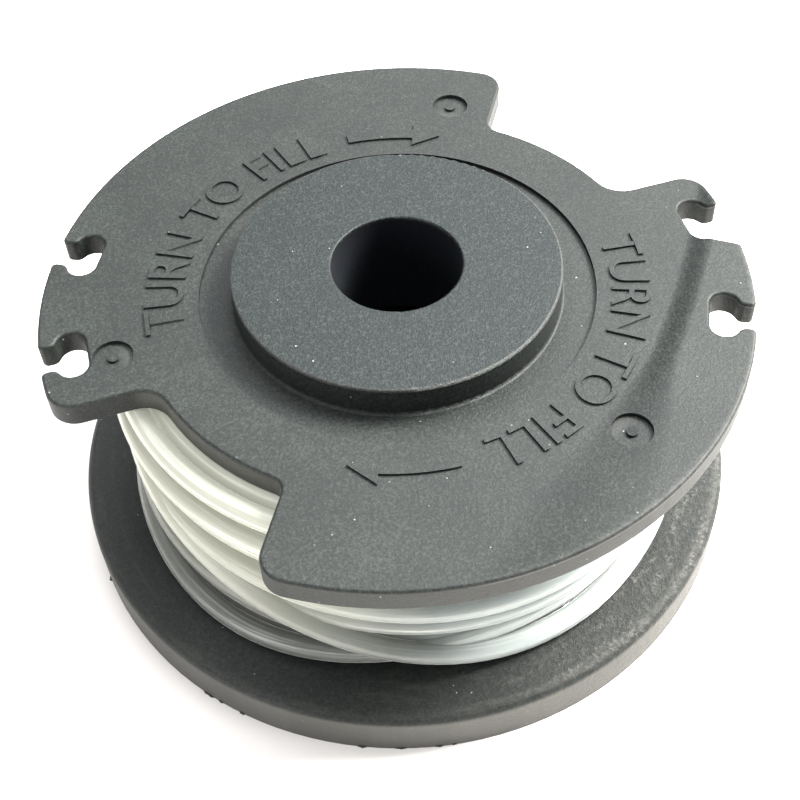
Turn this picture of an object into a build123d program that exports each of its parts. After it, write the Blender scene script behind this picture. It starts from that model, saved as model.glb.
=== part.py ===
"""Trimmer line spool: a one-piece moulded spool with its winding of nylon cutting line."""
import os
from math import cos, hypot, radians, sin, tan

from build123d import *

# Spool body, all sizes in millimetres
OVERALL_HEIGHT = 29.5
LOWER_FLANGE_DIAMETER = 65.5
LOWER_FLANGE_THICKNESS = 4.9
LOWER_RIM_ROUND = 0.8
UPPER_FLANGE_DIAMETER = 65.0
UPPER_FLANGE_THICKNESS = 2.6
UPPER_RIM_ROUND = 0.3
BARREL_DIAMETER = 45.0
WALL = 2.2

# Raised boss in its shallow dish, with the bore for the spindle
BOSS_DIAMETER = 30.0
BOSS_HEIGHT = 2.7
BOSS_TOP_ROUND = 0.25
BOSS_FOOT_ROUND = 0.3
DISH_DIAMETER = 36.3
DISH_DEPTH = 0.4
BORE_DIAMETER = 11.9
BORE_LENGTH = 12.0
BORE_EDGE_ROUND = 0.2

# Two cut-outs, opposite each other, that leave the upper flange as two lobes
CUTOUT_ANGLE = 45.2
CUTOUT_LEDGE = 1.3
CUTOUT_FLOOR_ARC = 38.4
CUTOUT_LEADING_FLARE = 28.2
CUTOUT_TRAILING_FLARE = 30.7
CUTOUT_LEADING_ROUND = 1.4
CUTOUT_TRAILING_ROUND = 2.8
LOBE_END_ROUND = 2.4

# Keyhole notches that hold the line's ends, a pair on each lobe
NOTCH_SPREAD = 24.2
NOTCH_DEPTH = 4.2
NOTCH_EYE_LENGTH = 5.2
NOTCH_EYE_HEIGHT = 2.7
NOTCH_MOUTH = 2.8
NOTCH_THROAT_ROUND = 0.8
NOTCH_LIP_ROUND = 0.5
LOST_LIP_FLARE = 33.0
RIM_TOLERANCE = 0.001

# Gate dimples, where the plastic was let into the mould
GATE_COUNT = 3
GATE_ANGLE = 75.0
GATE_INSET = 6.3
GATE_DIMPLE_DIAMETER = 3.6
GATE_DIMPLE_DEPTH = 0.4
GATE_NUB_DIAMETER = 1.0
GATE_NUB_HEIGHT = 0.25

# Hollow underside, with the dogs that drive the spool and the ribs under the lower flange
DOG_COUNT = 8
DOG_LENGTH = 3.4
DOG_WIDTH = 3.6
DOG_HEIGHT = 9.0
DOG_RAMP = 1.4
RIB_COUNT = 8
RIB_WIDTH = 1.6

# Nylon line and how it is wound
LINE_DIAMETER = 2.03
TURNS_ACROSS = 9
WINDING_DEPTH = 4.2
WINDING_CLEARANCE = 0.05
CROSSING_STAND_OUT = 0.8
CROSSING_TILT = 10.0
CROSSING_LOW_ANGLE = -62.0
CROSSING_LIFT = 0.33

upper_radius = UPPER_FLANGE_DIAMETER / 2
lower_radius = LOWER_FLANGE_DIAMETER / 2
barrel_radius = BARREL_DIAMETER / 2
hub_radius = barrel_radius - WALL
boss_radius = BOSS_DIAMETER / 2
dish_radius = DISH_DIAMETER / 2
bore_radius = BORE_DIAMETER / 2
collar_radius = bore_radius + WALL
line_radius = LINE_DIAMETER / 2
cutout_floor = barrel_radius + CUTOUT_LEDGE
notch_floor = upper_radius - NOTCH_DEPTH
notch_middle = notch_floor + NOTCH_EYE_HEIGHT / 2
gate_circle_radius = upper_radius - GATE_INSET
flange_top = OVERALL_HEIGHT - BOSS_HEIGHT
flange_underside = flange_top - UPPER_FLANGE_THICKNESS
dish_floor = flange_top - DISH_DEPTH
hub_ceiling = dish_floor - WALL
boss_core_radius = boss_radius - WALL
boss_ceiling = OVERALL_HEIGHT - WALL
collar_foot = OVERALL_HEIGHT - BORE_LENGTH
skirt_radius = lower_radius - WALL
web_underside = LOWER_FLANGE_THICKNESS - WALL
half_turn = (0, 180)


def polar(radius, angle):
    """Point in plan at a radius and an angle in degrees."""
    return Vector(radius * cos(radians(angle)), radius * sin(radians(angle)))


def nearest_corner(shape, point):
    """Corner of a flat shape that lies nearest to a point."""
    return shape.vertices().sort_by_distance(Vector(*point))[0]


def revolved_core():
    """Barrel, lower flange, boss and bore, turned about the axis from one half section."""
    section_points = [
        (bore_radius, collar_foot),
        (bore_radius, OVERALL_HEIGHT),
        (boss_radius, OVERALL_HEIGHT),
        (boss_radius, dish_floor),
        (barrel_radius, dish_floor),
        (barrel_radius, LOWER_FLANGE_THICKNESS),
        (lower_radius, LOWER_FLANGE_THICKNESS),
        (lower_radius, 0),
        (skirt_radius, 0),
        (skirt_radius, web_underside),
        (barrel_radius, web_underside),
        (barrel_radius, 0),
        (hub_radius, 0),
        (hub_radius, hub_ceiling),
        (boss_core_radius, hub_ceiling),
        (boss_core_radius, boss_ceiling),
        (collar_radius, boss_ceiling),
        (collar_radius, collar_foot),
    ]
    section = make_face(Polyline(*section_points, close=True))
    rounds = (
        ((bore_radius, OVERALL_HEIGHT), BORE_EDGE_ROUND),
        ((boss_radius, OVERALL_HEIGHT), BOSS_TOP_ROUND),
        ((boss_radius, dish_floor), BOSS_FOOT_ROUND),
        ((lower_radius, LOWER_FLANGE_THICKNESS), LOWER_RIM_ROUND),
    )
    for corner, radius in rounds:
        section = fillet(nearest_corner(section, corner), radius)
    return revolve(Plane.XZ * section, Axis.Z)


def cutout():
    """Plan of one cut-out: a floor that follows the barrel and two flared walls."""
    half_arc = CUTOUT_FLOOR_ARC / 2
    leading = polar(cutout_floor, half_arc)
    trailing = polar(cutout_floor, -half_arc)
    floor_middle = polar(cutout_floor, 0)
    leading_end = leading + Vector(upper_radius, upper_radius * tan(radians(CUTOUT_LEADING_FLARE)))
    trailing_end = trailing + Vector(upper_radius, -upper_radius * tan(radians(CUTOUT_TRAILING_FLARE)))
    outline = ThreePointArc(leading, floor_middle, trailing)
    outline += Polyline(trailing, trailing_end, leading_end, leading)
    return make_face(outline)


def notch():
    """Plan of one notch: an oblong eye across the radius, with a narrower mouth to the rim."""
    eye = Pos(notch_middle, 0) * SlotOverall(NOTCH_EYE_LENGTH, NOTCH_EYE_HEIGHT, rotation=90)
    mouth = Pos(notch_middle + upper_radius / 2, 0) * Rectangle(upper_radius, NOTCH_MOUTH)
    return eye + mouth


def throat_corner(angle, side):
    """Place of the corner between eye and mouth, on one side of the notch at an angle."""
    throat = Vector(notch_floor + NOTCH_EYE_HEIGHT, side * NOTCH_MOUTH / 2)
    return throat.rotate(Axis.Z, angle)


def lost_lip():
    """Plan of the lip that has broken off beside one notch, with the gap it leaves."""
    eye_end = -NOTCH_EYE_LENGTH / 2
    spread = upper_radius * tan(radians(LOST_LIP_FLARE))
    return Polygon(
        (notch_middle, 0),
        (notch_middle, eye_end),
        (notch_middle + upper_radius, eye_end - spread),
        (notch_middle + upper_radius, 0),
        align=None,
    )


def round_uprights(plate, spots, radius):
    """Round the upright edges of a plate that stand nearest to each of the given spots."""
    uprights = plate.edges().filter_by(Axis.Z)
    corners = [uprights.sort_by_distance(spot)[0] for spot in spots]
    return fillet(corners, radius)


def round_rim_corners(plate, angle, radius):
    """Round the two corners where an opening at an angle meets the plate's rim."""
    def on_rim(edge):
        return abs(hypot(edge.center().X, edge.center().Y) - upper_radius) < RIM_TOLERANCE

    corners = plate.edges().filter_by(Axis.Z).filter_by(on_rim)
    return fillet(corners.sort_by_distance(polar(upper_radius, angle))[:2], radius)


def upper_flange():
    """Upper flange as a plate round the dish: two lobes with their notches, all edges rounded."""
    plan = Rot(Z=CUTOUT_ANGLE) * Circle(upper_radius)
    notch_angles = [turn + side * NOTCH_SPREAD / 2 for turn in half_turn for side in (-1, 1)]
    for turn in half_turn:
        plan -= Rot(Z=turn + CUTOUT_ANGLE) * cutout()
    for angle in notch_angles:
        plan -= Rot(Z=angle) * notch()
    plan -= Rot(Z=NOTCH_SPREAD / 2) * lost_lip()
    plate = extrude(plan, UPPER_FLANGE_THICKNESS)

    half_arc = CUTOUT_FLOOR_ARC / 2
    leading = [polar(cutout_floor, turn + CUTOUT_ANGLE + half_arc) for turn in half_turn]
    trailing = [polar(cutout_floor, turn + CUTOUT_ANGLE - half_arc) for turn in half_turn]
    plate = round_uprights(plate, leading, CUTOUT_LEADING_ROUND)
    plate = round_uprights(plate, trailing, CUTOUT_TRAILING_ROUND)
    for angle in notch_angles:
        plate = round_rim_corners(plate, angle, NOTCH_LIP_ROUND)
    throats = [throat_corner(angle, side) for angle in notch_angles for side in (-1, 1)]
    throats.remove(throat_corner(NOTCH_SPREAD / 2, -1))
    plate = round_uprights(plate, throats, NOTCH_THROAT_ROUND)
    lost_root = Vector(notch_middle, -NOTCH_EYE_LENGTH / 2)
    plate = round_uprights(plate, [lost_root.rotate(Axis.Z, NOTCH_SPREAD / 2)], NOTCH_LIP_ROUND)
    for turn in half_turn:
        plate = round_rim_corners(plate, turn + CUTOUT_ANGLE, LOBE_END_ROUND)

    flat_edges = plate.edges().group_by(Axis.Z)
    plate = fillet(flat_edges[0] + flat_edges[-1], UPPER_RIM_ROUND)
    plate -= Cylinder(dish_radius, 2 * UPPER_FLANGE_THICKNESS)
    return Pos(0, 0, flange_underside) * plate


def gate_dimples():
    """Shallow round dimples in the upper flange, each round the stub of its gate."""
    dimple = Cylinder(GATE_DIMPLE_DIAMETER / 2, 2 * GATE_DIMPLE_DEPTH)
    nub_foot = Pos(0, 0, -GATE_DIMPLE_DEPTH)
    low = (Align.CENTER, Align.CENTER, Align.MIN)
    dimple -= nub_foot * Cylinder(GATE_NUB_DIAMETER / 2, GATE_NUB_HEIGHT, align=low)
    dimples = []
    for index in range(GATE_COUNT):
        spot = polar(gate_circle_radius, GATE_ANGLE + index * 360 / GATE_COUNT)
        dimples.append(Pos(spot.X, spot.Y, flange_top) * dimple)
    return dimples


def drive_dogs():
    """Dogs inside the hub, each with a ramp on its trailing side, hanging from the ceiling."""
    root = hub_radius + WALL / 2
    tip = hub_radius - DOG_LENGTH
    low_end = hub_ceiling - DOG_HEIGHT
    profile = Polygon(
        (-DOG_WIDTH / 2, hub_ceiling + WALL / 2),
        (-DOG_WIDTH / 2, low_end),
        (DOG_WIDTH / 2 - DOG_RAMP, low_end),
        (DOG_WIDTH / 2, low_end + DOG_RAMP),
        (DOG_WIDTH / 2, hub_ceiling + WALL / 2),
        align=None,
    )
    dog = Pos(tip, 0, 0) * extrude(Plane.YZ * profile, root - tip)
    return [Rot(Z=index * 360 / DOG_COUNT) * dog for index in range(DOG_COUNT)]


def flange_ribs():
    """Radial ribs in the pocket under the lower flange, between the barrel and the skirt."""
    inner = barrel_radius - WALL / 2
    outer = skirt_radius + WALL / 2
    height = web_underside + WALL / 2
    low = (Align.MIN, Align.CENTER, Align.MIN)
    rib = Pos(inner, 0, 0) * Box(outer - inner, RIB_WIDTH, height, align=low)
    return [Rot(Z=(index + 0.5) * 360 / RIB_COUNT) * rib for index in range(RIB_COUNT)]


def spool_body():
    """The whole moulding."""
    body = revolved_core() + upper_flange()
    body += flange_ribs()
    body += drive_dogs()
    body -= gate_dimples()
    return body


def line_winding():
    """Line wound on the barrel: a full layer of turns side by side and one that crosses over it."""
    low = LOWER_FLANGE_THICKNESS + WINDING_CLEARANCE
    high = flange_underside - WINDING_CLEARANCE
    inner = barrel_radius + WINDING_CLEARANCE
    layer_radius = barrel_radius + WINDING_DEPTH - line_radius
    pitch = (high - low - LINE_DIAMETER) / (TURNS_ACROSS - 1)
    middle = (low + high) / 2
    section = Pos((inner + layer_radius) / 2, middle) * Rectangle(layer_radius - inner, high - low)
    for index in range(TURNS_ACROSS):
        section += Pos(layer_radius, low + line_radius + index * pitch) * Circle(line_radius)
    layer = revolve(Plane.XZ * section, Axis.Z)
    crossing = Torus(layer_radius + CROSSING_STAND_OUT, line_radius)
    drop = (layer_radius + CROSSING_STAND_OUT + line_radius) * sin(radians(CROSSING_TILT))
    middle_height = low + line_radius + drop + CROSSING_LIFT * pitch
    lean = Rot(Z=CROSSING_LOW_ANGLE) * Rot(Y=CROSSING_TILT)
    return layer + Pos(0, 0, middle_height) * lean * crossing


os.makedirs("parts", exist_ok=True)
for name, shape in (("spool_body", spool_body()), ("line_winding", line_winding())):
    solids = shape.solids()
    print(name, len(solids), "solid", round(sum(s.volume for s in solids), 1), "mm3")
    export_step(shape, f"parts/{name}.step")
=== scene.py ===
"""Trimmer line spool: finish of the moulding, the wound line, the raised marks and the stage."""

from math import cos, pi, radians, remainder, sin, tau
from typing import NamedTuple

import bmesh
import bpy
from bpy.props import FloatProperty, FloatVectorProperty, IntProperty, PointerProperty, StringProperty
from mathutils import Matrix, Vector


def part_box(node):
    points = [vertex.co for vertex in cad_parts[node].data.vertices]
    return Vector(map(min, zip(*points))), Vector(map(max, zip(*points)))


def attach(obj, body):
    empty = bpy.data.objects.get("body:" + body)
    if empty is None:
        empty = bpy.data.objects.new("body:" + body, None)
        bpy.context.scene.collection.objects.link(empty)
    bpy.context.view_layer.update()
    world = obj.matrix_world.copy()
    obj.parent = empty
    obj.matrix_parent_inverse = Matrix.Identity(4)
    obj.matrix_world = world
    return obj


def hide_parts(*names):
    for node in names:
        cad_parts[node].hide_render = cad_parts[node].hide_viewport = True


bl_info = {
    "name": "Trimmer Line Spool",
    "version": (1, 0, 0),
    "blender": (4, 5, 0),
    "location": "3D View > Sidebar > Spool",
    "description": "Finishes the moulded spool, winds its line and sets the stage",
    "category": "Object",
}

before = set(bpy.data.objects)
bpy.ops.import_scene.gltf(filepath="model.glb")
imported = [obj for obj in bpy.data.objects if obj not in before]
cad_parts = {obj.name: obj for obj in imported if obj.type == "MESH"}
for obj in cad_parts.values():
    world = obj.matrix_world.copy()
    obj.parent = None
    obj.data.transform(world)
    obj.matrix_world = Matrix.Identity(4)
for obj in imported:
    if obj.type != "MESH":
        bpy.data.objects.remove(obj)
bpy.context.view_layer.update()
body_low, body_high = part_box("spool_body")
line_low, line_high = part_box("line_winding")

MM = 0.001


def length(label, description, millimetres):
    """Property for a size, given in millimetres and kept in metres."""
    return FloatProperty(
        name=label, description=description, default=millimetres * MM, unit="LENGTH", precision=5
    )


def angle(label, description, degrees):
    """Property for an angle, given in degrees and kept in radians."""
    return FloatProperty(name=label, description=description, default=radians(degrees), subtype="ANGLE")


def share(label, description, value):
    """Property for a share from none to all."""
    return FloatProperty(
        name=label, description=description, default=value, min=0.0, max=1.0, subtype="FACTOR"
    )


def number(label, description, value):
    """Property for a plain number."""
    return FloatProperty(name=label, description=description, default=value)


def power(label, description, watts):
    """Property for a light's power."""
    return FloatProperty(name=label, description=description, default=watts, unit="POWER")


def colour(label, description, value):
    """Property for a linear colour."""
    return FloatVectorProperty(
        name=label, description=description, default=value, subtype="COLOR", size=3, min=0.0, max=1.0
    )


class MouldingSettings(bpy.types.PropertyGroup):
    """Finish of the dark moulded plastic."""

    base: colour("Colour", "Grey of the plastic", (0.0088, 0.0112, 0.0103))
    pale: colour("Pale grain", "Grey of the grain's high spots", (0.0290, 0.0330, 0.0300))
    boss: colour("Boss", "Cooler grey of the boss", (0.0040, 0.0080, 0.0085))
    # Paler grey that carries painted light on the rims, cut-out walls and boss edge, as well as pale
    # streaks and flecks.
    worn_and_lit: colour("Wear", "Grey of the rubbed rims", (0.086, 0.085, 0.078))
    bore: colour("Bore", "Unlit black inside the bore", (0.0008, 0.0022, 0.0048))
    dust: colour("Dust", "Colour of the specks of dust", (0.30, 0.31, 0.29))
    roughness: share("Roughness", "How matte the plastic is", 0.52)
    grain_size: length("Grain size", "Spacing of the moulded grain", 0.28)
    grain_depth: length("Grain depth", "Height of the moulded grain", 0.032)
    coarse_size: length("Coarse size", "Spacing of the coarse flecks", 0.6)
    coarse_depth: length("Coarse depth", "Height of the coarse flecks on the rough side", 0.15)
    mottle_size: length("Mottle size", "Spacing of the cloudy changes of grey", 7.0)
    streak_size: length("Streak size", "Spacing of the streaks on the lower flange", 1.1)
    grain_contrast: number("Grain contrast", "How much the grain changes the grey", 2.4)
    fine_contrast: number("Fine contrast", "How much the finest grain changes the grey", 1.4)
    coarse_contrast: number("Coarse contrast", "How much the coarse flecks change the grey", 0.8)
    mottle_contrast: number("Mottle contrast", "How much the cloudy changes tell", 0.7)
    # Painted light on the rims: the paler lower side is a painted reflection of the bright floor, and the
    # pale lines along the edges are painted highlights, stronger at the right.
    side_reflection: share("Side rub", "Wear of the lower rim's side", 0.66)
    side_mottle: share("Side mottle", "How uneven that wear is", 0.35)
    faint_highlight: share("Faint line", "Pale line along the lower rim, all round", 0.12)
    lower_highlight: share("Lower line", "More of the lower rim's pale line at the right", 0.55)
    upper_highlight: share("Upper line", "Pale line along the upper rim at the right", 0.38)
    # An even paler tone over the lower flange.
    haze: share("Haze", "Even wear of the lower flange", 0.05)
    streaks: share("Streaks", "Strength of the streaks on the lower flange", 0.3)
    flecks: share("Flecks", "Strength of the flecks on the rough side", 0.85)
    # Painted light: the cut-outs' walls are painted paler.
    wall_light_share: share("Wall rub", "Wear of the cut-outs' walls", 0.35)
    # Painted highlight: the pale edge round the boss; the boss's flecks are its grain.
    boss_edge_highlight: share("Boss rub", "Wear of the boss's edge", 0.6)
    boss_flecks: share("Boss flecks", "Strength of the flecks on the boss", 0.13)
    dust_spacing: length("Dust spacing", "Spacing of the cells that may hold a speck", 1.5)
    dust_radius: length("Dust radius", "Radius of a speck of dust", 0.09)
    crease_centre: FloatVectorProperty(
        name="Crease centre",
        description="Middle of the crease's bend in plan",
        default=(-0.09448, 0.04805),
        size=2,
        subtype="TRANSLATION",
    )
    crease_bend: length("Crease bend", "Radius of the crease's bend", 131.0)
    crease_width: length("Crease width", "Width of the crease", 2.5)
    crease_fan: number("Crease fan", "How much wider the crease grows towards the front", 2.6)
    crease_rise: length("Crease rise", "How far the lobe stands up beyond the crease", 0.88)
    crease_lean: share("Crease lean", "How much the lobe falls again beyond the crease", 0.02)


class LineSettings(bpy.types.PropertyGroup):
    """The nylon line and how it lies on the barrel."""

    diameter: length("Diameter", "Thickness of the line", 2.03)
    inner_radius: length("Inner layer", "Radius of the turns against the barrel", 23.55)
    outer_radius: length("Outer layer", "Radius of the turns that show", 25.70)
    steps: IntProperty(name="Steps", description="Steps along each turn", default=120, min=24)
    sides: IntProperty(name="Sides", description="Sides of the line's section", default=14, min=6)
    cream: colour("Cream", "Nylon where turns lie on turns", (0.25, 0.254, 0.212))
    # Painted light: the line turns to this cooler, paler white towards the right, where the light falls.
    cool: colour("Cool white", "Nylon towards the light", (0.33, 0.365, 0.36))
    # Painted shade: a darker grey on the low strands and those under the upper flange's front, standing for
    # the shade there and the dark flange showing through.
    shaded_grey: colour("Smoky", "Nylon that the dark flange shows through", (0.062, 0.069, 0.067))
    # Painted highlights: pale lines along the line, and its whiter far right, stand for the bright edges of
    # clear line under the light.
    edge: colour("Drawn lines", "Bright lines along the clear line", (0.96, 0.97, 0.93))
    depth: length("Depth", "How deep light goes into the nylon", 1.0)
    roughness: share("Roughness", "How frosted the nylon is", 0.30)
    cloud_size: length("Cloud size", "Spacing of the cloudy changes", 3.0)
    cloud_frost: share("Cloud frost", "How much the frosting changes", 0.05)
    drawn_size: length("Drawn size", "Spacing of the drawn lines", 0.5)
    drawn_depth: length("Drawn depth", "Height of the drawn lines", 0.08)
    drawn_share: share("Drawn share", "Strength of the drawn lines", 0.3)
    bright_share: share("Bright share", "How much whiter the line is at the far right", 0.4)
    # Painted glow: the line gives off light of its own everywhere, more on the low strands and most in the
    # cut-outs and their inner layer, lifting the shade between strands; it is no lamp.
    glow: share("Glow", "Light that the line carries everywhere", 0.12)
    glow_low: share("Low glow", "More of it in the lowest strands", 0.04)
    glow_cutouts: share("Cut-out glow", "More of it in the cut-outs", 0.9)
    glow_inner: share("Inner glow", "More again in the inner layer there", 0.4)


class MarkSettings(bpy.types.PropertyGroup):
    """Raised marks on the upper flange."""

    words: StringProperty(name="Words", description="Raised words on each lobe", default="TURN TO FILL")
    drop: length("Drop", "How far the flange lies below the boss", 2.7)
    relief: length("Relief", "Height of the marks above the flange", 0.22)
    foot_radius: length("Foot radius", "Radius at the letters' feet", 19.5)
    letter_height: length("Letter height", "Height of the letters", 3.6)
    words_start: angle("Words start", "Angle at which the words start", 192.0)
    words_end: angle("Words end", "Angle at which the words end", 108.0)
    arrow_radius: length("Arrow radius", "Radius of the arrow's shaft", 21.0)
    arrow_width: length("Arrow width", "Width of the arrow's shaft", 1.25)
    arrow_head: length("Arrow head", "Width of the arrow's head", 3.3)
    arrow_start: angle("Arrow start", "Angle of the arrow's tail", 101.0)
    arrow_neck: angle("Arrow neck", "Angle where the arrow's head begins", 82.8)
    arrow_tip: angle("Arrow tip", "Angle of the arrow's tip", 75.5)


class FlashSettings(bpy.types.PropertyGroup):
    """Flash that the mould has left on the lower rim's foot."""

    grey: colour("Grey", "Grey of the flash", (0.006, 0.007, 0.007))
    thickness: length("Thickness", "Height of the flash above the foot", 0.32)
    root: length("Root", "How far the flash reaches into the rim", 0.25)
    lightening: number("Lightening", "How much lighter its torn spots are", 1.6)
    torn_size: length("Torn size", "Spacing of the torn spots", 0.2)
    torn_depth: length("Torn depth", "Height of the torn spots", 0.05)


class StageSettings(bpy.types.PropertyGroup):
    """Floor, lights and camera."""

    floor: colour("Floor", "Colour of the floor", (0.86, 0.83, 0.80))
    floor_shade: share("Floor shade", "How bright the floor's darker clouds are", 0.985)
    floor_clouds: length("Floor clouds", "Spacing of the floor's clouds", 40.0)
    floor_radius: length("Floor radius", "Radius of the floor", 1500.0)
    eye: FloatVectorProperty(
        name="Eye",
        description="Place of the camera",
        default=(-0.00140, -0.08403, 0.11304),
        subtype="TRANSLATION",
    )
    turn: angle("Turn", "Camera's turn to the right of straight back", 3.467)
    tilt: angle("Tilt", "Camera's tilt below the level", 49.389)
    roll: angle("Roll", "Camera's roll about its line of sight", -0.940)
    lens: number("Lens", "Focal length in millimetres", 59.038)
    shift: FloatVectorProperty(
        name="Shift",
        description="Shift of the frame, as the photo is cropped",
        default=(-0.04925, -0.04291),
        size=2,
    )
    key_power: power("Key light", "Power of the key light", 29.5)
    top_power: power("Top light", "Power of the overhead light", 9.0)
    back_power: power("Back light", "Power of the light behind", 13.0)
    side_power: power("Side light", "Power of the low light", 0.6)
    sky: number("Sky", "Strength of the surrounding light", 0.6)


class Value:
    """Number from a shader socket, which Python arithmetic turns into Math nodes."""

    def __init__(self, finish, socket):
        self.finish = finish
        self.socket = socket

    def maths(self, operation, *values, clamp=False):
        """Math node on the given values."""
        settings = {"operation": operation, "use_clamp": clamp}
        return self.finish.add("ShaderNodeMath", settings, dict(enumerate(values)))

    def __add__(self, other):
        return self.maths("ADD", self, other)

    def __radd__(self, other):
        return self.maths("ADD", other, self)

    def __sub__(self, other):
        return self.maths("SUBTRACT", self, other)

    def __rsub__(self, other):
        return self.maths("SUBTRACT", other, self)

    def __mul__(self, other):
        return self.maths("MULTIPLY", self, other)

    def __rmul__(self, other):
        return self.maths("MULTIPLY", other, self)

    def __truediv__(self, other):
        return self.maths("DIVIDE", self, other)

    def __pow__(self, other):
        return self.maths("POWER", self, other)

    def clamped(self):
        """The value held between nought and one."""
        return self.maths("ADD", self, 0.0, clamp=True)

    def rise(self, start, end):
        """How far the value has come from a start to an end, held between nought and one."""
        return ((self - start) / (end - start)).clamped()

    def eased(self):
        """Smooth rise from nought to one, of a value held between them."""
        return self * self * (3.0 - 2.0 * self)


class Spot(NamedTuple):
    """Place on a piece in millimetres: its coordinates, and its distance from the axis."""

    x: Value
    y: Value
    z: Value
    radius: Value


class Finish:
    """Material in the making, with the one method that adds nodes to it."""

    def __init__(self, name):
        self.material = bpy.data.materials.new(name)
        self.material.use_nodes = True
        self.tree = self.material.node_tree
        self.tree.nodes.clear()

    def add(self, kind, settings=None, sockets=None, output=0):
        """Node of a kind: its settings first, then its sockets' values or links; gives one output."""
        node = self.tree.nodes.new(kind)
        for name, setting in (settings or {}).items():
            setattr(node, name, setting)
        for key, value in (sockets or {}).items():
            if isinstance(value, Value):
                self.tree.links.new(value.socket, node.inputs[key])
            else:
                node.inputs[key].default_value = value
        return Value(self, node.outputs[output]) if node.outputs else None

    def place(self):
        """Position on the piece, in millimetres."""
        metres = self.add("ShaderNodeTexCoord", output="Object")
        return self.add("ShaderNodeVectorMath", {"operation": "SCALE"}, {"Vector": metres, "Scale": 1 / MM})

    def split(self, vector):
        """The three coordinates of a vector."""
        parts = self.add("ShaderNodeSeparateXYZ", sockets={"Vector": vector}).socket.node
        return [Value(self, output) for output in parts.outputs]

    def spot(self, place):
        """Coordinates of a place, and its distance from the axis."""
        x, y, z = self.split(place)
        return Spot(x, y, z, (x * x + y * y) ** 0.5)

    def noise(self, vector, spacing, detail=2.0, roughness=0.5):
        """Cloudy noise with a spacing in metres, from nought to one."""
        sockets = {"Vector": vector, "Scale": MM / spacing, "Detail": detail, "Roughness": roughness}
        return self.add("ShaderNodeTexNoise", sockets=sockets, output="Fac")

    def mix(self, first, second, factor):
        """Colour between two others."""
        return self.add("ShaderNodeMix", {"data_type": "RGBA"}, {0: factor, 6: first, 7: second}, output=2)

    def bump(self, height, distance):
        """Normal that follows a height of a given reach in metres."""
        return self.add("ShaderNodeBump", sockets={"Height": height, "Distance": distance})

    def surface(self, **sockets):
        """Principled shader on the output; a socket's name has _ for each space."""
        named = {key.replace("_", " "): value for key, value in sockets.items()}
        shader = self.add("ShaderNodeBsdfPrincipled", sockets=named)
        self.add("ShaderNodeOutputMaterial", sockets={"Surface": shader})
        return self.material


def opaque(rgb):
    """Colour with full alpha, as colour sockets want it."""
    return (*rgb, 1.0)


# Where a part of the plastic's finish comes in, in millimetres: none at the first place, all at the second.
BOSS_HEIGHT = (28.6, 29.1)
BOSS_TOP = (29.1, 29.3)
BOSS_RIM = (14.75, 14.875)
BORE_HEIGHT = (29.25, 29.0)
BORE_RADIUS = (6.3, 6.05)
FLANGE_TOP = (26.3, 26.55)
CREASE_FAN = (-9.0, -27.0)
UPPER_EDGE_HEIGHT = (26.55, 26.717)
UPPER_EDGE_RADIUS = (31.9, 32.15)
WALL_HEAD = (26.55, 26.3)
WALL_FOOT = (24.2, 24.45)
WALL_INSIDE = (22.5, 23.0)
WALL_OUTSIDE = (26.0, 25.0)
LOWER_FLANGE = (10.0, 9.0)
LOWER_EDGE_HEIGHT = (4.55, 4.717)
LOWER_EDGE_INSIDE = (31.5, 31.833)
LOWER_EDGE_OUTSIDE = (32.4, 32.233)
LOWER_SIDE_HEIGHT = (4.5, 4.25)
LOWER_SIDE_RADIUS = (32.2, 32.45)
# Painted highlights along the rims' edges grow towards the right, where the light falls.
HIGHLIGHT_RIGHT = (2.0, 18.0)
ROUGH_RIGHT = (4.0, 20.0)

# Where a mark begins in its noise, and where it is full.
DUSTY_CELL = (0.42, 0.976)
BROKEN_LINE = (0.3, 0.717)
STREAK = (0.53, 0.8425)
FLECK_STREAK = (0.42, 0.62)
COARSE_FLECK = (0.5, 0.643)
BOSS_FLECK = (0.58, 0.747)
BOSS_COOLING = (0.9167, 0.3611)
GRAIN_LEVEL = 0.42
MIDDLE = 0.5

# How much sharper the boss's grain is, and how much the grain, the dust and the bore add to the matte.
BOSS_GRAIN, BOSS_FINE = 3.0, 4.0
GRAIN_MATTE, DUST_MATTE, BORE_MATTE = 0.2, 0.3, 0.4

# Relief of the finer noises against the grain's, and how much higher all of it is on two areas.
FINE_RELIEF, MOTTLE_RELIEF, DUST_RELIEF = 0.4, 0.15, 0.4
BOSS_RELIEF, ROUGH_RELIEF = 0.6, 1.5

# Millimetres of noise to a radian, so few that the streaks are drawn out round the axis.
STREAK_DRAW = 5.0


class Noises(NamedTuple):
    """Noises of the moulded plastic."""

    grain: Value
    fine: Value
    coarse: Value
    mottle: Value


def dust_specks(finish, place, settings):
    """Specks of dust, one in some of the cells, each of its own strength."""
    sockets = {"Vector": place, "Scale": MM / settings.dust_spacing}
    cells = finish.add("ShaderNodeTexVoronoi", {"feature": "F1"}, sockets, "Distance")
    lot = finish.split(Value(finish, cells.socket.node.outputs["Color"]))[0]
    reach = settings.dust_radius / settings.dust_spacing
    return cells.rise(reach, reach / 2.0) * lot.rise(*DUSTY_CELL)


def crease_height(spot, settings):
    """Height in millimetres of the lobe past its crease, a soft step that a knock has left."""
    centre_x, centre_y = settings.crease_centre
    from_centre = ((spot.x - centre_x / MM) ** 2.0 + (spot.y - centre_y / MM) ** 2.0) ** 0.5
    past = from_centre - settings.crease_bend / MM
    fan = spot.y.rise(*CREASE_FAN).eased()
    width = settings.crease_width / MM * (1.0 + fan * settings.crease_fan)
    step = (past / width + 0.5).clamped().eased()
    beyond = past.maths("MAXIMUM", past, 0.0)
    on_top = spot.z.rise(*FLANGE_TOP)
    return (step * (settings.crease_rise / MM) - beyond * settings.crease_lean) * on_top


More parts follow.
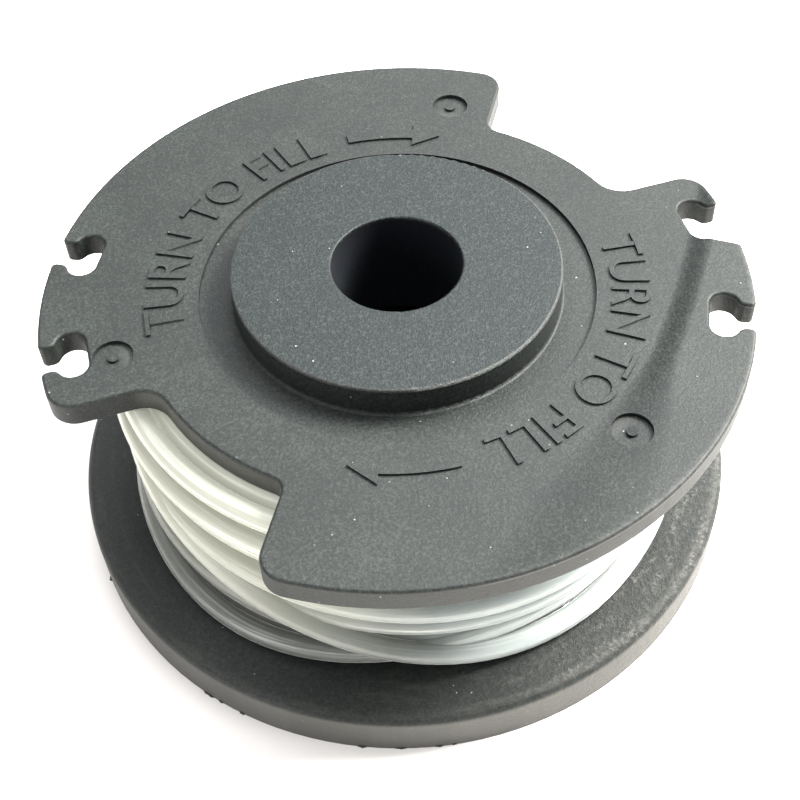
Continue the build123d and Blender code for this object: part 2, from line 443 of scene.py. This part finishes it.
def rim_painted_light(spot, noises, settings):
    """Painted reflection of the bright floor on the lower rim's side, uneven, and broken pale lines along
    the edges of both rims, painted highlights that grow towards the right.
    """
    x, _, z, radius = spot
    # Painted reflection of the bright floor on the lower rim's side, uneven.
    side = z.rise(*LOWER_SIDE_HEIGHT) * radius.rise(*LOWER_SIDE_RADIUS)
    reflected = side * (settings.side_reflection + (noises.mottle - MIDDLE) * settings.side_mottle)
    # Painted highlights: broken pale lines along both rims' edges, stronger at the right.
    on_edge = radius.rise(*LOWER_EDGE_INSIDE) * radius.rise(*LOWER_EDGE_OUTSIDE)
    lower_edge = z.rise(*LOWER_FLANGE) * z.rise(*LOWER_EDGE_HEIGHT) * on_edge
    upper_edge = z.rise(*UPPER_EDGE_HEIGHT) * radius.rise(*UPPER_EDGE_RADIUS)
    rightwards = x.rise(*HIGHLIGHT_RIGHT)
    lower_highlight = lower_edge * (settings.faint_highlight + rightwards * settings.lower_highlight)
    upper_highlight = upper_edge * rightwards * settings.upper_highlight
    return reflected + (lower_highlight + upper_highlight) * noises.coarse.rise(*BROKEN_LINE)


def lower_streaks(finish, spot, noises, rough_side, settings):
    """Streaks round the lower flange, with flecks on its rough side."""
    around = spot.y.maths("ARCTAN2", spot.y, spot.x)
    sweep = finish.add("ShaderNodeCombineXYZ", sockets={0: around * STREAK_DRAW, 1: spot.radius})
    streak = finish.noise(sweep, settings.streak_size, detail=4.0, roughness=0.65)
    streaked = spot.z.rise(*LOWER_FLANGE) * (streak.rise(*STREAK) * settings.streaks + settings.haze)
    flecks = noises.coarse.rise(*COARSE_FLECK) * streak.rise(*FLECK_STREAK)
    return streaked + rough_side * flecks * settings.flecks


def wall_light(spot, settings):
    """Paler walls of the cut-outs, beside the line: painted light."""
    upright = spot.z.rise(*WALL_HEAD) * spot.z.rise(*WALL_FOOT)
    outward = spot.radius.rise(*WALL_INSIDE) * spot.radius.rise(*WALL_OUTSIDE)
    return upright * outward * settings.wall_light_share


def boss_highlight_and_flecks(spot, noises, settings):
    """Pale edge round the boss, a painted highlight, and pale flecks on it."""
    edge = spot.radius.rise(*BOSS_RIM) * spot.z.rise(*BOSS_TOP) * noises.fine
    flecks = spot.z.rise(*BOSS_HEIGHT) * noises.grain.rise(*BOSS_FLECK)
    return edge * settings.boss_edge_highlight + flecks * settings.boss_flecks


def moulded_plastic(settings):
    """Dark grey plastic with a fine moulded grain, pale streaks, a crease and specks of dust, with painted
    light: a painted reflection on the lower rim's side, painted highlights along the rims' edges and round
    the boss, and paler cut-out walls.
    """
    finish = Finish("moulded_plastic")
    place = finish.place()
    spot = finish.spot(place)
    grain = finish.noise(place, settings.grain_size, detail=3.0, roughness=0.6)
    fine = finish.noise(place, settings.grain_size / 2.0, detail=2.0, roughness=0.7)
    coarse = finish.noise(place, settings.coarse_size, detail=4.0, roughness=0.75)
    mottle = finish.noise(place, settings.mottle_size, detail=3.0)
    noises = Noises(grain, fine, coarse, mottle)
    dust = dust_specks(finish, place, settings)
    boss = spot.z.rise(*BOSS_HEIGHT)
    bore = spot.radius.rise(*BORE_RADIUS) * spot.z.rise(*BORE_HEIGHT)
    rough_side = spot.z.rise(*LOWER_FLANGE) * spot.x.rise(*ROUGH_RIGHT)

    grain_tone = (grain - GRAIN_LEVEL) * (settings.grain_contrast + boss * BOSS_GRAIN)
    fine_tone = (fine - MIDDLE) * (settings.fine_contrast + boss * BOSS_FINE)
    coarse_tone = (coarse - MIDDLE) * settings.coarse_contrast
    mottle_tone = (mottle - MIDDLE) * settings.mottle_contrast
    high_spots = (grain_tone + fine_tone + coarse_tone + mottle_tone).clamped()
    rims = rim_painted_light(spot, noises, settings)
    streaks_and_flecks = lower_streaks(finish, spot, noises, rough_side, settings)
    wear_and_light = (rims + streaks_and_flecks + wall_light(spot, settings) + boss_highlight_and_flecks(spot, noises, settings)).clamped()
    grey = finish.mix(opaque(settings.base), opaque(settings.pale), high_spots)
    cooled = finish.mix(grey, opaque(settings.boss), boss * grain.rise(*BOSS_COOLING))
    # Painted light: this paler grey brings in the painted reflection and highlights of the rims, the paler
    # walls and the boss's pale edge, along with the pale streaks and flecks.
    worn_and_lit = finish.mix(cooled, opaque(settings.worn_and_lit), wear_and_light)
    dusted = finish.mix(worn_and_lit, opaque(settings.dust), dust)
    shaded = finish.mix(dusted, opaque(settings.bore), bore)

    matte = settings.roughness + (grain - MIDDLE) * GRAIN_MATTE + dust * DUST_MATTE + bore * BORE_MATTE
    relief = (settings.grain_depth / MM) * (1.0 + boss * BOSS_RELIEF + rough_side * ROUGH_RELIEF)
    grain_height = (grain + fine * FINE_RELIEF + mottle * MOTTLE_RELIEF + dust * DUST_RELIEF) * relief
    coarse_height = coarse * rough_side * (settings.coarse_depth / MM)
    height = grain_height + coarse_height + crease_height(spot, settings)
    return finish.surface(
        Base_Color=shaded,
        Roughness=matte.clamped(),
        Normal=finish.bump(height, MM),
        Specular_IOR_Level=0.245,
    )


# Where a part of the nylon's finish comes in, in millimetres, and in the noise of its drawn lines; these
# parts paint light and shade onto the line.
PAINTED_COOL_RIGHT = (-12.0, 2.0)
WHITE_RIGHT = (15.0, 25.0)
# Where the painted shade of the low strands comes in: lower down, leaning with x, and towards the left.
LOW_SHADE_HEIGHT = (17.3, 7.7)
LOW_SHADE_LEFT = (6.0, -3.0)
LOW_SHADE_LEAN = 0.08
# Where the painted glow comes in: by height, towards the cut-outs, and more on the inner layer there.
GLOW_HEIGHT = (8.0, 14.0)
GLOW_CUTOUT = (18.0, 22.0)
INNER_LAYER = (25.3, 24.3)
DRAWN_LINE = (0.55, 0.717)

# Painted shade: how much of the darker grey the low strands get, at least and with the clouds.
LOW_SHADE_LEAST, LOW_SHADE_CLOUD = 0.9, 0.2

# Name of the line's own coordinates, and how far they go along it with each ring, in millimetres.
STRAND = "strand"
STRAND_STEP = 0.035


def drawn_nylon(settings):
    """Frosted, half clear nylon, creamy and lined lengthways, with painted light: a cooler, whiter right
    side, pale highlight lines, painted shade in grey on the low strands and under the upper flange's front,
    and a painted glow.
    """
    finish = Finish("drawn_nylon")
    place = finish.place()
    x, y, z, radius = finish.spot(place)
    cloud = finish.noise(place, settings.cloud_size, detail=2.0)
    # Painted light: cooler, paler white towards the right.
    milky_and_lit = finish.mix(opaque(settings.cream), opaque(settings.cool), x.rise(*PAINTED_COOL_RIGHT))
    # Painted shade: the low strands, and those under the upper flange's front, turn darker grey.
    low_shade = (z - x * LOW_SHADE_LEAN).rise(*LOW_SHADE_HEIGHT) * x.rise(*LOW_SHADE_LEFT)
    body = finish.mix(milky_and_lit, opaque(settings.shaded_grey), low_shade * (LOW_SHADE_LEAST + cloud * LOW_SHADE_CLOUD))
    strand = finish.add("ShaderNodeAttribute", {"attribute_name": STRAND}, output="Vector")
    drawn = finish.noise(strand, settings.drawn_size, detail=3.0, roughness=0.6)
    # Painted highlights: pale lines along the line and a whiter far right; the bump below on the same noise
    # is relief.
    whiter = drawn.rise(*DRAWN_LINE) * settings.drawn_share + x.rise(*WHITE_RIGHT) * settings.bright_share
    diagonal = (x + y) * 0.5**0.5
    towards_cutouts = diagonal.maths("ABSOLUTE", diagonal)
    # Painted glow: emission in the cut-outs, more on the inner layer, a little on the low strands and all
    # over.
    glow_mask = z.rise(*GLOW_HEIGHT) * towards_cutouts.rise(*GLOW_CUTOUT)
    cutout_glow = glow_mask * (settings.glow_cutouts + radius.rise(*INNER_LAYER) * settings.glow_inner)
    painted_glow = cutout_glow + low_shade * settings.glow_low + settings.glow
    return finish.surface(
        Base_Color=finish.mix(body, opaque(settings.edge), whiter.clamped()),
        Roughness=settings.roughness + (cloud - MIDDLE) * settings.cloud_frost,
        Normal=finish.bump(drawn, settings.drawn_depth),
        IOR=1.53,
        Subsurface_Weight=0.35,
        Subsurface_Radius=(1.0, 1.0, 0.9),
        Subsurface_Scale=settings.depth,
        Emission_Color=finish.mix(opaque((0.0, 0.0, 0.0)), opaque(settings.cream), painted_glow),
        Emission_Strength=0.9,
        Sheen_Weight=0.8,
        Sheen_Roughness=0.25,
    )


def flash_plastic(settings):
    """Thin dark plastic, uneven where it tore off."""
    finish = Finish("flash_plastic")
    torn = finish.noise(finish.place(), settings.torn_size, detail=3.0)
    dark = opaque(settings.grey)
    lighter = opaque([part * settings.lightening for part in settings.grey])
    return finish.surface(
        Base_Color=finish.mix(dark, lighter, torn),
        Roughness=0.6 + torn * 0.2,
        Normal=finish.bump(torn, settings.torn_depth),
    )


def pale_floor(settings):
    """Plain pale floor with a trace of unevenness."""
    finish = Finish("pale_floor")
    cloud = finish.noise(finish.place(), settings.floor_clouds)
    warm = opaque(settings.floor)
    cool = opaque([part * settings.floor_shade for part in settings.floor])
    return finish.surface(Base_Color=finish.mix(warm, cool, cloud), Roughness=0.75 + cloud * 0.1)


def new_piece(name, mesh, material):
    """Object in the scene for a mesh, with its material."""
    mesh.materials.clear()
    mesh.materials.append(material)
    piece = bpy.data.objects.new(name, mesh)
    bpy.context.scene.collection.objects.link(piece)
    return piece


def smooth_step(value):
    """Smooth rise from nought to one."""
    held = min(max(value, 0.0), 1.0)
    return held * held * (3.0 - 2.0 * held)


def polar(radius, around, height):
    """Point at a radius and an angle about the axis."""
    return Vector((radius * cos(around), radius * sin(around), height))


# Middle of the loose part of the winding, how far it reaches to each side, and over what angle it ends.
LOOSE_ANGLE = radians(-100.0)
LOOSE_REACH = radians(65.0)
LOOSE_FADE = radians(50.0)


class Stray(NamedTuple):
    """How a turn leaves its even place where the winding is loose, in millimetres and degrees."""

    rise: float = 0.0
    stand_out: float = 0.0
    drop: float = 0.0
    bulge: float = 0.0
    angle: float = 0.0
    narrowness: float = 1.0
    swell: float = 1.0

    def at(self, around):
        """Way out and way up from the even place, at an angle about the axis."""
        from_middle = abs(remainder(around - LOOSE_ANGLE, tau))
        loose = 1.0 - smooth_step((from_middle - LOOSE_REACH) / LOOSE_FADE)
        near = (1.0 + cos(around - radians(self.angle))) / 2.0
        out = self.stand_out + self.bulge * near**self.swell
        up = self.rise - self.drop * near**self.narrowness
        return Vector((out, up)) * loose * MM


STRAYS = (
    Stray(),
    Stray(rise=-0.8, stand_out=0.6),
    Stray(rise=-0.6),
    Stray(rise=-0.5, drop=10.2, bulge=1.8, angle=-62.0, narrowness=3.0, swell=1.8),
    Stray(rise=0.85, stand_out=0.2, drop=5.2, bulge=0.2, angle=-5.0),
    Stray(rise=0.4, drop=4.5, bulge=0.3, angle=-5.0),
    Stray(rise=-1.6, stand_out=0.7, drop=0.6, bulge=-0.9, angle=-70.0),
    Stray(rise=-0.3, drop=1.83, bulge=1.75, angle=-128.0, narrowness=14.0, swell=7.0),
    Stray(rise=0.4, stand_out=-0.35),
)


class Turn(NamedTuple):
    """One turn of line: its even place, as radius and height, and how it strays from there."""

    even: Vector
    stray: Stray

    def at(self, around):
        """Radius and height of the turn at an angle about the axis."""
        return self.even + self.stray.at(around)


def winding_turns(settings):
    """Turns of the line in order: the inner layer upwards, then the layer that shows downwards."""
    line = settings.diameter / 2
    low = line_low.z + line
    high = line_high.z - line
    pitch = (high - low) / (len(STRAYS) - 1)
    places = range(len(STRAYS))
    inner = [Turn(Vector((settings.inner_radius, low + index * pitch)), Stray()) for index in places]
    shown = [Turn(Vector((settings.outer_radius, high - index * pitch)), STRAYS[index]) for index in places]
    return inner + shown


# Share of a turn in which it passes into the next, and the angle at which each turn begins.
CHANGE_SHARE = 0.22
BACK_ANGLE = pi / 2


def winding_route(turns, steps):
    """Points along the whole line; each turn passes into the next behind the spool."""
    points = []
    for index, turn in enumerate(turns):
        following = turns[min(index + 1, len(turns) - 1)]
        for step in range(steps):
            part = step / steps
            around = BACK_ANGLE + tau * part
            change = smooth_step((part - 1.0 + CHANGE_SHARE) / CHANGE_SHARE)
            radius, height = turn.at(around).lerp(following.at(around), change)
            points.append(polar(radius, around, height))
    return points


def tube_mesh(name, points, radius, sides):
    """Tube along a line of points round the axis, closed at both ends, with coordinates of its own."""
    shape = bmesh.new()
    turns = [tau * side / sides for side in range(sides)]
    rings = []
    strand = []
    for index, point in enumerate(points):
        before = points[max(index - 1, 0)]
        after = points[min(index + 1, len(points) - 1)]
        along = (after - before).normalized()
        outward = Vector((point.x, point.y, 0.0)).normalized()
        upward = along.cross(outward).normalized()
        outward = upward.cross(along)
        ways = [cos(t) * outward + sin(t) * upward for t in turns]
        rings.append([shape.verts.new(point + radius * way) for way in ways])
        for t in turns:
            strand += [cos(t) * radius / MM, sin(t) * radius / MM, index * STRAND_STEP]
    for ring, following in zip(rings, rings[1:]):
        for side in range(sides):
            other = (side + 1) % sides
            shape.faces.new((ring[side], ring[other], following[other], following[side]))
    shape.faces.new(reversed(rings[0]))
    shape.faces.new(rings[-1])
    bmesh.ops.recalc_face_normals(shape, faces=shape.faces)
    mesh = bpy.data.meshes.new(name)
    shape.to_mesh(mesh)
    shape.free()
    mesh.polygons.foreach_set("use_smooth", [True] * len(mesh.polygons))
    mesh.attributes.new(STRAND, "FLOAT_VECTOR", "POINT").data.foreach_set("vector", strand)
    return mesh


def words_mesh(settings):
    """Raised words in flat layout, bent round the axis with their heads outwards."""
    text = bpy.data.curves.new("raised_words", "FONT")
    text.body = settings.words
    text.extrude = 0.5
    text.align_x = "LEFT"
    holder = bpy.data.objects.new("raised_words", text)
    mesh = bpy.data.meshes.new_from_object(holder)
    bpy.data.objects.remove(holder)
    xs = [vertex.co.x for vertex in mesh.vertices]
    ys = [vertex.co.y for vertex in mesh.vertices]
    left, right, foot, head = min(xs), max(xs), min(ys), max(ys)
    surface = body_high.z - settings.drop
    span = settings.words_end - settings.words_start
    for vertex in mesh.vertices:
        across = (vertex.co.x - left) / (right - left)
        upward = (vertex.co.y - foot) / (head - foot)
        around = settings.words_start + span * across
        height = surface + settings.relief if vertex.co.z > 0 else surface - settings.relief
        vertex.co = polar(settings.foot_radius + settings.letter_height * upward, around, height)
    return mesh


ARROW_STEPS = 24


def add_arrow(shape, settings):
    """Raised arrow round the axis: a shaft along an arc and a solid head."""
    surface = body_high.z - settings.drop
    half = settings.arrow_width / 2
    head = settings.arrow_head / 2
    middle = settings.arrow_radius
    swing = settings.arrow_neck - settings.arrow_start
    arcs = [settings.arrow_start + swing * step / ARROW_STEPS for step in range(ARROW_STEPS + 1)]
    outline = [(middle + half, around) for around in arcs]
    outline.append((middle + head, settings.arrow_neck))
    outline.append((middle, settings.arrow_tip))
    outline.append((middle - head, settings.arrow_neck))
    outline += [(middle - half, around) for around in reversed(arcs)]
    top = [shape.verts.new(polar(*spot, surface + settings.relief)) for spot in outline]
    foot = [shape.verts.new(polar(*spot, surface - settings.relief)) for spot in outline]
    shape.faces.new(top)
    shape.faces.new(reversed(foot))
    for index in range(len(outline)):
        other = (index + 1) % len(outline)
        shape.faces.new((top[index], foot[index], foot[other], top[other]))


class Burr(NamedTuple):
    """One scrap of flash: its angle in degrees, and its length and reach in millimetres."""

    angle: float
    length: float
    reach: float


BURRS = (
    Burr(angle=-157.4, length=0.6, reach=0.22),
    Burr(angle=-127.6, length=1.3, reach=0.18),
    Burr(angle=-125.1, length=0.6, reach=0.12),
    Burr(angle=-120.9, length=0.6, reach=0.16),
    Burr(angle=-100.3, length=0.9, reach=0.15),
    Burr(angle=-94.1, length=1.1, reach=0.10),
    Burr(angle=-88.0, length=0.8, reach=0.10),
    Burr(angle=-85.6, length=0.5, reach=0.08),
)
BURR_STEPS = 8

# How blunt a scrap's ends are, how thick they are against its middle, and how its edge wanders.
BURR_FULLNESS = 0.6
BURR_ENDS = 0.4
RAGGEDNESS = 0.25
RAGGED_TURN = 11.0


def add_burr(shape, burr, settings):
    """Uneven sliver along the rim's foot, thick at its root and sharp at its edge."""
    rim = body_high.x
    foot = body_low.z
    root = rim - settings.root
    rows = []
    for step in range(BURR_STEPS + 1):
        part = step / BURR_STEPS
        around = radians(burr.angle) + (part - 0.5) * burr.length * MM / rim
        full = sin(pi * part) ** BURR_FULLNESS
        ragged = 1.0 - RAGGEDNESS + RAGGEDNESS * cos(burr.angle + RAGGED_TURN * part)
        edge = rim + burr.reach * MM * ragged * full
        top = foot + settings.thickness * (BURR_ENDS + (1.0 - BURR_ENDS) * full)
        spots = ((root, foot), (edge, foot), (edge, foot + settings.thickness / 4), (rim, top), (root, top))
        rows.append([shape.verts.new(polar(radius, around, height)) for radius, height in spots])
    for row, following in zip(rows, rows[1:]):
        for index in range(len(row)):
            other = (index + 1) % len(row)
            shape.faces.new((row[index], row[other], following[other], following[index]))
    shape.faces.new(reversed(rows[0]))
    shape.faces.new(rows[-1])


FLOOR_SIDES = 96
SKY_TINT = (0.97, 0.98, 1.0)


class Lamp(NamedTuple):
    """Square soft light: its name, its place and size in metres, and its tint."""

    name: str
    place: tuple
    size: float
    tint: tuple

    def shine(self, watts):
        """Light of a given power, aimed at the spool."""
        light = bpy.data.lights.new(self.name, "AREA")
        light.size = self.size
        light.energy = watts
        light.color = self.tint
        holder = bpy.data.objects.new(self.name, light)
        holder.location = self.place
        target = Vector((0.0, 0.0, body_high.z / 2))
        holder.rotation_euler = (target - Vector(self.place)).to_track_quat("-Z", "Y").to_euler()
        bpy.context.scene.collection.objects.link(holder)


KEY_LIGHT = Lamp("key_light", place=(0.50, 0.18, 0.52), size=0.30, tint=(1.0, 0.98, 0.94))
TOP_LIGHT = Lamp("top_light", place=(0.0, 0.10, 0.90), size=0.90, tint=(0.97, 0.98, 1.0))
BACK_LIGHT = Lamp("back_light", place=(0.25, 0.58, 0.75), size=0.90, tint=(0.96, 0.98, 1.0))
SIDE_LIGHT = Lamp("side_light", place=(-0.32, -0.22, 0.10), size=0.25, tint=(1.0, 0.98, 0.95))


class SPOOL_OT_finish_moulding(bpy.types.Operator):
    """Give the moulded spool its plastic"""

    bl_idname = "spool.finish_moulding"
    bl_label = "Finish Moulding"

    def execute(self, context):
        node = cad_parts["spool_body"]
        material = moulded_plastic(context.scene.spool_moulding)
        node.data.materials.clear()
        node.data.materials.append(material)
        return {"FINISHED"}


class SPOOL_OT_wind_line(bpy.types.Operator):
    """Wind the nylon line on the barrel"""

    bl_idname = "spool.wind_line"
    bl_label = "Wind Line"

    def execute(self, context):
        settings = context.scene.spool_line
        route = winding_route(winding_turns(settings), settings.steps)
        mesh = tube_mesh("wound_line", route, settings.diameter / 2, settings.sides)
        piece = new_piece("wound_line", mesh, drawn_nylon(settings))
        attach(piece, "root")
        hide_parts("line_winding")
        return {"FINISHED"}


class SPOOL_OT_raise_marks(bpy.types.Operator):
    """Raise the words and arrows on both lobes of the upper flange"""

    bl_idname = "spool.raise_marks"
    bl_label = "Raise Marks"

    def execute(self, context):
        settings = context.scene.spool_marks
        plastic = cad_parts["spool_body"].data.materials[0]
        shape = bmesh.new()
        shape.from_mesh(words_mesh(settings))
        add_arrow(shape, settings)
        turned = bmesh.ops.duplicate(shape, geom=shape.verts[:] + shape.edges[:] + shape.faces[:])
        verts = [item for item in turned["geom"] if isinstance(item, bmesh.types.BMVert)]
        bmesh.ops.rotate(shape, verts=verts, cent=(0.0, 0.0, 0.0), matrix=Matrix.Rotation(pi, 3, "Z"))
        bmesh.ops.recalc_face_normals(shape, faces=shape.faces)
        mesh = bpy.data.meshes.new("raised_marks")
        shape.to_mesh(mesh)
        shape.free()
        piece = new_piece("raised_marks", mesh, plastic)
        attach(piece, "root")
        return {"FINISHED"}


class SPOOL_OT_leave_flash(bpy.types.Operator):
    """Leave scraps of flash on the lower rim's foot"""

    bl_idname = "spool.leave_flash"
    bl_label = "Leave Flash"

    def execute(self, context):
        settings = context.scene.spool_flash
        shape = bmesh.new()
        for burr in BURRS:
            add_burr(shape, burr, settings)
        bmesh.ops.recalc_face_normals(shape, faces=shape.faces)
        mesh = bpy.data.meshes.new("rim_flash")
        shape.to_mesh(mesh)
        shape.free()
        piece = new_piece("rim_flash", mesh, flash_plastic(settings))
        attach(piece, "root")
        return {"FINISHED"}


class SPOOL_OT_set_stage(bpy.types.Operator):
    """Lay the floor and set the lights and the camera"""

    bl_idname = "spool.set_stage"
    bl_label = "Set Stage"

    def execute(self, context):
        settings = context.scene.spool_stage
        self.lay_floor(settings)
        self.set_lights(context.scene, settings)
        self.set_camera(context.scene, settings)
        return {"FINISHED"}

    def lay_floor(self, settings):
        """Round floor under the spool."""
        shape = bmesh.new()
        bmesh.ops.create_circle(shape, cap_ends=True, segments=FLOOR_SIDES, radius=settings.floor_radius)
        mesh = bpy.data.meshes.new("floor")
        shape.to_mesh(mesh)
        shape.free()
        floor = new_piece("floor", mesh, pale_floor(settings))
        floor.location.z = body_low.z

    def set_lights(self, scene, settings):
        """Window light from the back right, soft lights overhead and behind, and a low one at the left."""
        KEY_LIGHT.shine(settings.key_power)
        TOP_LIGHT.shine(settings.top_power)
        BACK_LIGHT.shine(settings.back_power)
        SIDE_LIGHT.shine(settings.side_power)
        world = bpy.data.worlds.new("surround")
        world.use_nodes = True
        background = world.node_tree.nodes["Background"]
        background.inputs["Color"].default_value = opaque(SKY_TINT)
        background.inputs["Strength"].default_value = settings.sky
        scene.world = world
        scene.view_settings.view_transform = "Standard"

    def set_camera(self, scene, settings):
        """Camera at the photo's place and angle."""
        level = cos(settings.tilt)
        ahead = Vector((sin(settings.turn) * level, cos(settings.turn) * level, -sin(settings.tilt)))
        right = ahead.cross(Vector((0.0, 0.0, 1.0))).normalized()
        up = right.cross(ahead)
        rolled_right = cos(settings.roll) * right + sin(settings.roll) * up
        rolled_up = cos(settings.roll) * up - sin(settings.roll) * right
        facing = Matrix((rolled_right, rolled_up, -ahead)).transposed()
        view = bpy.data.cameras.new("camera")
        view.lens = settings.lens
        view.shift_x, view.shift_y = settings.shift
        view.clip_start = 1.0 * MM
        camera = bpy.data.objects.new("camera", view)
        camera.matrix_world = Matrix.Translation(settings.eye) @ facing.to_4x4()
        scene.collection.objects.link(camera)
        scene.camera = camera


class SPOOL_PT_panel(bpy.types.Panel):
    """Panel with the spool's steps"""

    bl_idname = "SPOOL_PT_panel"
    bl_label = "Trimmer Line Spool"
    bl_space_type = "VIEW_3D"
    bl_region_type = "UI"
    bl_category = "Spool"

    def draw(self, context):
        for operator in OPERATORS:
            self.layout.operator(operator.bl_idname)


SETTINGS = {
    "spool_moulding": MouldingSettings,
    "spool_line": LineSettings,
    "spool_marks": MarkSettings,
    "spool_flash": FlashSettings,
    "spool_stage": StageSettings,
}
OPERATORS = (
    SPOOL_OT_finish_moulding,
    SPOOL_OT_wind_line,
    SPOOL_OT_raise_marks,
    SPOOL_OT_leave_flash,
    SPOOL_OT_set_stage,
)
CLASSES = (*SETTINGS.values(), *OPERATORS, SPOOL_PT_panel)


def register():
    """Add the classes and the scene's settings."""
    for item in CLASSES:
        bpy.utils.register_class(item)
    for name, group in SETTINGS.items():
        setattr(bpy.types.Scene, name, PointerProperty(type=group))


def unregister():
    """Take the settings and the classes away."""
    for name in SETTINGS:
        delattr(bpy.types.Scene, name)
    for item in reversed(CLASSES):
        bpy.utils.unregister_class(item)


def main():
    """Dress the spool."""
    register()
    bpy.ops.spool.finish_moulding()
    bpy.ops.spool.wind_line()
    bpy.ops.spool.raise_marks()
    bpy.ops.spool.leave_flash()
    bpy.ops.spool.set_stage()


if __name__ == "__main__":
    main()
